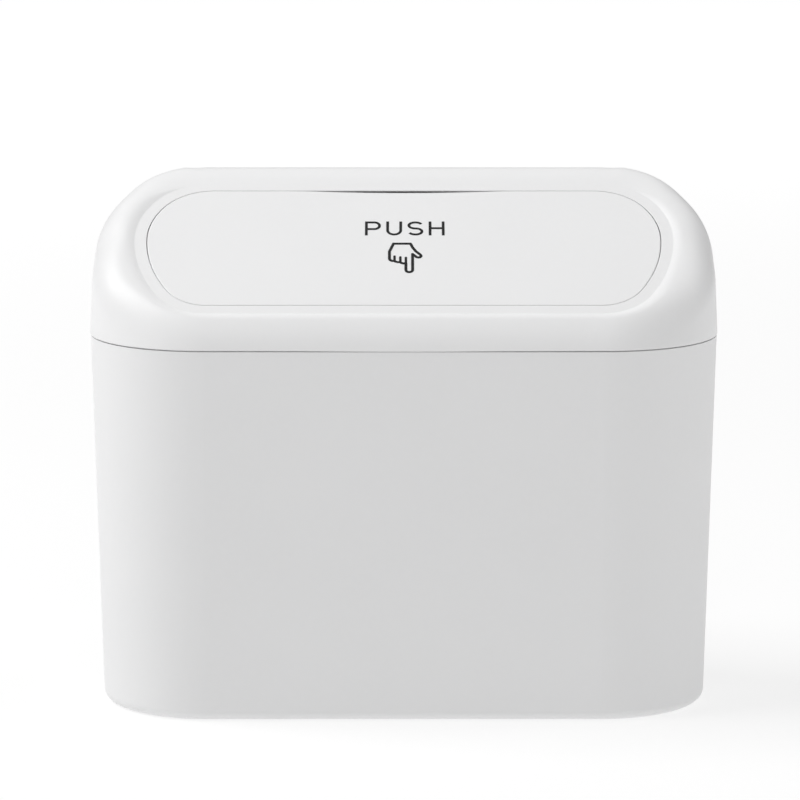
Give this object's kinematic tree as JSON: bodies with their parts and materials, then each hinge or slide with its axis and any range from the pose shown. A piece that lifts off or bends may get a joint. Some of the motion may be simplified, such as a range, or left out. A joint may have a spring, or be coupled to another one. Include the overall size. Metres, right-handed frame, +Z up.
{
  "type": "car trash can",
  "caption": "Small white push-flap trash can for a car: tapered tub, lift-off cover with a slanted top, a sprung flap set flush in it, and a rear hook that hangs it from a door pocket.",
  "frame": {"origin": "centre of the flat underside of the tub, on the surface it stands on", "axes": "+Z up, the front faces -Y, +X to the right as seen from the front, the hook on the back at +Y"},
  "size_m": [0.1604, 0.0819, 0.1348],
  "materials": {
    "tub_plastic": "satin moulded white polypropylene, very fine grain",
    "cover_plastic": "satin moulded white polypropylene, slightly smoother than the tub",
    "flap_plastic": "satin moulded white polypropylene",
    "hook_plastic": "satin moulded white polypropylene",
    "pin_steel": "ground bright steel rod",
    "spring_steel": "drawn spring wire",
    "print_ink": "flat black pad-printed ink"
  },
  "bodies": {
    "bin": {"bin_body": "tub_plastic"},
    "cover": {"cover_frame": "cover_plastic", "hinge_pin_left": "pin_steel", "hinge_pin_right": "pin_steel", "torsion_spring_left": "spring_steel", "torsion_spring_right": "spring_steel"},
    "flap": {"push_flap": "flap_plastic", "flap_word_print": "print_ink", "flap_hand_print": "print_ink"},
    "hook": {"hanging_hook": "hook_plastic"}
  },
  "joints": [
    {"name": "cover_lift", "type": "slide", "parent": "bin", "child": "cover", "axis": [0, 0, 1], "range_m": [0, 0.06]},
    {"name": "flap_push", "type": "hinge", "parent": "cover", "child": "flap", "pos_m": [0, 0.0129, 0.12304], "axis": [1, 0, 0], "range_deg": [0, 60], "stiffness_Nm_per_rad": 0.012, "springref_deg": -34.38, "deforming": ["torsion_spring_left", "torsion_spring_right"]},
    {"name": "hook_slide", "type": "slide", "parent": "bin", "child": "hook", "axis": [0, 0, -1], "range_m": [0, 0.042]}
  ]
}
